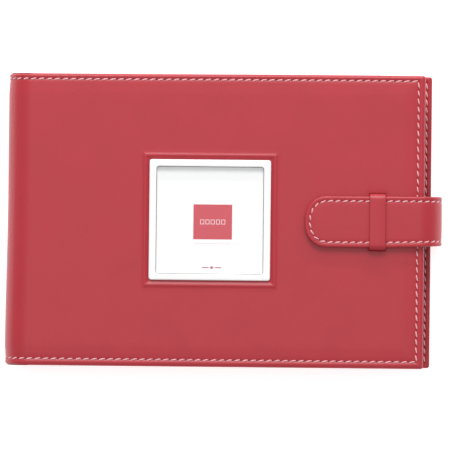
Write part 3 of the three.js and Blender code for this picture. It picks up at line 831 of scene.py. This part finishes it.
# ---- strap ----
STRAP_HALF = tongue_high.y
LOW_BEND = wall_high.x - back_high.x  # outer radius at the back cover's edge
LOW_Z = tail_low.z + LOW_BEND
TOP_BEND = 10.5 * MM
TOP_BEND_X = wall_high.x - TOP_BEND
STRAP_TOP = tongue_high.z
TAIL_RUN = back_high.x - tail_low.x
WALL_RUN = STRAP_TOP - TOP_BEND - LOW_Z
LOW_START = TAIL_RUN
WALL_START = LOW_START + LOW_BEND * QUARTER
TURN_START = WALL_START + WALL_RUN
TONGUE_START = TURN_START + TOP_BEND * QUARTER
STRAP_END = TONGUE_START + TOP_BEND_X - tongue_low.x
STRAP_SPLIT = WALL_START + WALL_RUN / 2
TIP = 10.2 * MM  # length of the rounded tip
BLUNT = 0.88  # under 1, the tip is blunter than half an ellipse
TAPER = 0.035  # how much narrower the strap is at the fore edge than on the cover
TAPER_RUN = 16 * MM  # how far onto the cover the strap goes on widening
LEAN_RUN = 25 * MM  # how far onto the cover it goes on leaning
LEAN = 0.5 * MM  # how far the strap's sewn end lies towards the head of its tip
RIM = 2.2 * MM  # from the strap's edge to its stitches
# the strap's layers, from one face round the edge to the other: each point's distance in from the
# outline and depth below the outer face, in millimetres
OUTER_PROFILE = ((4.2, 0.06), (3.0, 0.12), (2.5, 0.24), (2.2, 0.32), (1.9, 0.24), (1.5, 0.07), (1.0, 0.0),
                 (0.6, 0.03), (0.3, 0.12), (0.1, 0.3), (0, 0.55), (0, 0.9), (0.1, 1.1), (0.35, 1.22),
                 (1.2, 1.22), (4.2, 1.22))
INNER_PROFILE = ((4.2, 1.27), (1.2, 1.27), (0.45, 1.27), (0.2, 1.36), (0.1, 1.6), (0.1, 2.1), (0.25, 2.38),
                 (0.6, 2.5), (1.4, 2.52), (1.9, 2.36), (2.2, 2.26), (2.5, 2.36), (3.0, 2.46), (4.2, 2.5))


def strap_place(u, y, depth):
    """A point of the strap: u along it from its sewn end, y across it, depth below its outer face."""
    y = y * (1 - TAPER * (1 - smooth(u, TURN_START, TONGUE_START + TAPER_RUN)))
    y = y + LEAN * (1 - smooth(u, TURN_START, TONGUE_START + LEAN_RUN))
    low = np.clip((u - LOW_START) / LOW_BEND, 0, QUARTER)
    turn = np.clip((u - TURN_START) / TOP_BEND, 0, QUARTER)
    x = tail_low.x + np.minimum(u, LOW_START) + (LOW_BEND - depth) * np.sin(low)
    z = LOW_Z - (LOW_BEND - depth) * np.cos(low) + np.clip(u - WALL_START, 0, WALL_RUN)
    over = u > TURN_START
    x = np.where(over, TOP_BEND_X + (TOP_BEND - depth) * np.cos(turn) - np.maximum(u - TONGUE_START, 0), x)
    z = np.where(over, STRAP_TOP - TOP_BEND + (TOP_BEND - depth) * np.sin(turn), z)
    return np.stack([x, y, z], -1)


def strap_outline(u0, u1, inset, tip_steps=14):
    """Points (u, y) up one side of the strap, round its tip if it has one, and down the other."""
    tipped = u1 >= STRAP_END
    straight_end = STRAP_END - TIP if tipped else u1
    straight = lines(u0, straight_end, 1.1 * MM)
    half = STRAP_HALF - inset
    side = [(u, half) for u in straight]
    tip = []
    if tipped:
        for i in range(1, 2 * tip_steps):
            a = QUARTER - math.pi * i / (2 * tip_steps)
            along = (TIP - inset) * math.cos(a) ** BLUNT
            across = half * math.copysign(abs(math.sin(a)) ** BLUNT, math.sin(a))
            tip.append((STRAP_END - TIP + along, across if i != tip_steps else 0.0))
    return side + tip + [(u, -half) for u in straight[::-1]]


def strap_fill(points, first, n, depth, crown):
    """Faces across the strap between the two sides of one outline, and the points that they need."""
    half, columns = n // 2, 8
    rows = []
    for i in range(half):
        (u0, y0, _), (u1, y1, _) = points[first + i], points[first + n - 1 - i]
        row = [first + i]
        for k in range(1, columns):
            t = k / columns
            rise = 0.06 * MM * math.sin(math.pi * t) if crown else 0
            row.append(len(points))
            points.append((u0 + (u1 - u0) * t, y0 + (y1 - y0) * t, depth - rise))
        rows.append(row + [first + n - 1 - i])
    faces = []
    for a, b in zip(rows, rows[1:]):
        faces += [[a[k], a[k + 1], b[k + 1], b[k]] for k in range(columns)]
    if n % 2:
        last = rows[-1]
        faces += [[last[k], last[k + 1], first + half] for k in range(columns)]
    return faces


def make_strap_piece(name, u0, u1, layer, mat):
    """One leather layer of the strap from u0 to u1, closed, with rounded edges and a raised rim."""
    profile = OUTER_PROFILE if layer == "outer" else INNER_PROFILE
    profile = [(inset * MM, depth * MM) for inset, depth in profile]
    outlines = [strap_outline(u0, u1, inset) for inset, _ in profile]
    n = len(outlines[0])
    points, faces = [], []
    for outline, (_, depth) in zip(outlines, profile):
        points += [(u, y, depth) for u, y in outline]
    for row in range(len(profile) - 1):
        a, b = row * n, (row + 1) * n
        faces += [[a + i, a + i + 1, b + i + 1, b + i] for i in range(n - 1)]
    for row in (0, len(profile) - 1):
        faces += strap_fill(points, row * n, n, profile[row][1], layer == "outer" and row == 0)
    laid = np.array(points)
    return mesh_piece(name, strap_place(*laid.T), faces, mat, laid=laid, sharp=60, fill=True)


def make_strap():
    """Outer leather, lining and stitches, each in two lengths that meet on the strap's side wall."""
    skins = {"lower": ("strap_tail", "strap_wall"), "upper": ("strap_wall", "strap_tongue")}
    linings = {"lower": ("strap_wall_lining",), "upper": ("strap_wall_lining", "strap_tongue_lining")}
    turn = LOW_BEND * QUARTER
    for layer, kind, mat, slot, start, nodes in (
            ("outer", "leather", STRAP_LEATHER, "leather_red", 0, skins),
            ("inner", "lining", STRAP_BACKING, "leather_lining", LOW_START + 0.35 * turn, linings)):
        for word, u0, u1 in (("lower", start, STRAP_SPLIT), ("upper", STRAP_SPLIT, STRAP_END)):
            piece = make_strap_piece(f"strap_{word}_{kind}", u0, u1, layer, mat)
            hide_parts(*nodes[word])
            blend_strap(piece, word)
    for word, u0, u1 in (("lower", LOW_START + 0.45 * turn, STRAP_SPLIT),
                         ("upper", STRAP_SPLIT, STRAP_END)):
        for layer in ("outer", "inner"):
            for piece in strap_stitches(word, u0, u1, layer):
                blend_strap(piece, word)


def blend_strap(piece, word):
    if word == "lower":
        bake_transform(piece)
    else:
        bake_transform(piece)


def strap_stitches(word, u0, u1, layer):
    """Stitches along both sides and round the tip, walked at an even pitch."""
    outline = [np.array(p) for p in strap_outline(u0, u1, RIM, 24)]
    if word == "lower":
        half = len(outline) // 2
        paths = [outline[:half], outline[half:]]
    else:
        paths = [outline]
    lift = -1 if layer == "outer" else 1
    base = 0.3 * MM if layer == "outer" else 2.28 * MM
    points, faces, holes, hole_faces = [], [], [], []
    for path in paths:
        for start, end in even_steps(path, STRAP_STITCH):
            # a pitch of a metre makes one stitch of each step
            made = make_stitches([(start, end)], 1, lambda s, y: base, lift, 0.08 * MM)
            faces += [[v + len(points) for v in f] for f in made[1]]
            hole_faces += [[v + len(holes) for v in f] for f in made[3]]
            points += made[0].tolist()
            holes += made[2].tolist()
    name, laid, dots = f"strap_{word}_{layer}", np.array(points), np.array(holes)
    thread = mesh_piece(name + "_stitches", strap_place(*laid.T), faces, WHITE_THREAD, laid=laid)
    # the dark patches at the needle holes are painted shade
    dark = mesh_piece(name + "_holes", strap_place(*dots.T), hole_faces, HOLE_SHADE)
    if word == "upper" and layer == "outer":
        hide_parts("strap_thread")
    return thread, dark


def even_steps(path, pitch):
    """Pairs of points about one pitch apart along a path."""
    runs = run_along(path)
    marks = np.linspace(0, runs[-1], max(1, round(runs[-1] / pitch)) + 1)
    spots = np.stack([np.interp(marks, runs, axis) for axis in np.transpose(path)], 1)
    return zip(spots, spots[1:])


def make_keeper():
    """The loop over the strap: a leather band whose legs go down through slits in the cover."""
    half_width = (keeper_high.x - keeper_low.x) / 2 - 0.15 * MM
    thick = 1.1 * MM
    outer_round = 2.7 * MM
    top, foot, side = keeper_high.z, keeper_low.z, keeper_high.y
    # (y, z, outward y, outward z) along the band's outer face
    line = [(side, foot + (top - outer_round - foot) * i / 6, 1, 0) for i in range(7)]
    for i in range(1, 8):
        ny, nz = math.cos(QUARTER * i / 8), math.sin(QUARTER * i / 8)
        line.append((side - outer_round + outer_round * ny, top - outer_round + outer_round * nz, ny, nz))
    for i in range(17):
        t = i / 16
        y = (side - outer_round) * (1 - 2 * t)
        line.append((y, top - 0.05 * MM * math.sin(math.pi * t), 0, 1))
    line += [(-y, z, -ny, nz) for y, z, ny, nz in line[:14][::-1]]
    edge = 0.4 * MM
    section = []  # (x offset, depth) round the band's cross-section
    corners = ((1, 0), (1, 1), (-1, 1), (-1, 0))
    for number, (sx, deep) in enumerate(corners):
        for i in range(5):
            a = QUARTER * (1 - number - i / 4)
            section.append((sx * (half_width - edge) + edge * math.cos(a),
                            (thick - edge if deep else edge) - edge * math.sin(a)))
    middle = (keeper_low.x + keeper_high.x) / 2
    points = []
    for y, z, ny, nz in line:
        for dx, depth in section:
            crown = 0.1 * MM * (abs(dx) / half_width) ** 2 if depth < edge else 0
            points.append((middle + dx, y - ny * (depth + crown), z - nz * (depth + crown)))
    faces = tube_faces(0, len(line), len(section))
    keeper = mesh_piece("leather_keeper", points, faces, KEEPER_LEATHER, sharp=60)
    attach(keeper, "front_cover")
    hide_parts("keeper_loop")


# ---- leaves ----
LEAVES = 6
GUARD_THICK = 0.28 * MM
GUARD_ROOT = 2.75 * MM  # from the core's axis to where a guard starts


def make_guards():
    """The cloth guards that hold the leaves on the round core."""
    axis_x = (core_low.x + core_high.x) / 2
    axis_z = (core_low.z + core_high.z) / 2
    half = core_high.y
    for number in range(1, LEAVES + 1):
        guard_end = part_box(f"leaf_guard_{number}")[1].x
        card_lo, card_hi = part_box(f"leaf_card_{number}")
        lay = card_hi.z + 0.03 * MM
        rise = lay - axis_z
        kink_x = card_lo.x - axis_x - 0.9 * MM
        reach = math.hypot(kink_x, rise)
        start = np.array([kink_x * GUARD_ROOT / reach, rise * GUARD_ROOT / reach])
        kink, end = np.array([kink_x, rise]), np.array([guard_end - axis_x, rise])
        path = [start + (kink - start) * t for t in np.linspace(0, 0.8, 7)]
        control = [path[-1], kink, kink + (end - kink) * 0.12]
        for t in np.linspace(0, 1, 7)[1:]:
            path.append((1 - t) ** 2 * control[0] + 2 * t * (1 - t) * control[1] + t * t * control[2])
        path += [control[2] + (end - control[2]) * t for t in np.linspace(0, 1, 6)[1:]]
        path = np.array(path)
        direction = np.gradient(path, axis=0)
        normal = np.stack([-direction[:, 1], direction[:, 0]], 1)
        normal /= np.linalg.norm(normal, axis=1)[:, None]
        y_lines = np.linspace(-half, half, 41)
        points, laid = [], []
        run = run_along(path)
        for lift in (0.0, GUARD_THICK):
            for i, p in enumerate(path):
                spot = p + normal[i] * lift
                points += [(axis_x + spot[0], y, axis_z + spot[1]) for y in y_lines]
                laid += [(run[i], y, lift) for y in y_lines]
        guard = mesh_piece(f"cloth_guard_{number}", points, slab_faces(len(path), len(y_lines)), GUARD_CLOTH,
                           laid=np.array(laid))
        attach(guard, f"leaf_{number}")
        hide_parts(f"leaf_guard_{number}")


# ---- floor, light and camera ----
def make_stage():
    """A plain pale floor that glows a little, an even white surround and three soft lamps."""
    mat = Shader("studio_paper", 0.9, 0.1, laid=False)
    mat.colour(mat.noise(6, 2), [(0.3, (0.93, 0.93, 0.93)), (0.7, (0.94, 0.94, 0.94))])
    floor = mesh_piece("studio_floor", [(*p, 0) for p in rect(0, 0, 6, 6)], [[0, 1, 2, 3]], mat.mat)
    mat.out.inputs["Emission Color"].default_value = (1, 1, 1, 1)
    mat.out.inputs["Emission Strength"].default_value = 0.6
    floor.location.z = -0.05 * MM
    world = bpy.data.worlds.new("studio")
    world.use_nodes = True
    background = world.node_tree.nodes["Background"]
    background.inputs["Color"].default_value = (1, 1, 1, 1)
    background.inputs["Strength"].default_value = 0.55
    bpy.context.scene.world = world
    area_light("head_softbox", (0.0, 0.95, 0.95), 0.9, 10.4)
    area_light("head_strip", (0.0, 1.25, 0.42), 1.6, 6.5, 0.075)
    area_light("overhead_softbox", (-0.1, 0.15, 3.2), 2.4, 9)


def area_light(name, place, size, power, depth=0.6):
    """A rectangular lamp that points at the album's middle."""
    data = bpy.data.lights.new(name, "AREA")
    data.shape = "RECTANGLE"
    data.size, data.size_y = size, size * depth
    data.energy = power
    light = link(name, data)
    light.location = place
    light.rotation_euler = (-Vector(place)).to_track_quat("-Z", "Y").to_euler()


def make_camera():
    """Straight above the album, turned a little, with a long lens."""
    distance = 2.5
    field = 200.85 * MM  # width seen at the height of the front cover
    data = bpy.data.cameras.new("camera")
    data.sensor_width = 36
    data.lens = data.sensor_width * distance / field
    data.clip_start, data.clip_end = 0.1, 20
    camera = link("camera", data)
    camera.location = (0.1 * MM, -2.0 * MM, TOP + distance)
    camera.rotation_euler = (0, 0, math.radians(0.6))
    bpy.context.scene.camera = camera


bpy.context.scene.view_settings.view_transform = "Standard"
make_camera()
dress_cad_nodes()
make_covers()
make_spine_board()
make_window()
make_strap()
make_keeper()
make_guards()
make_stage()
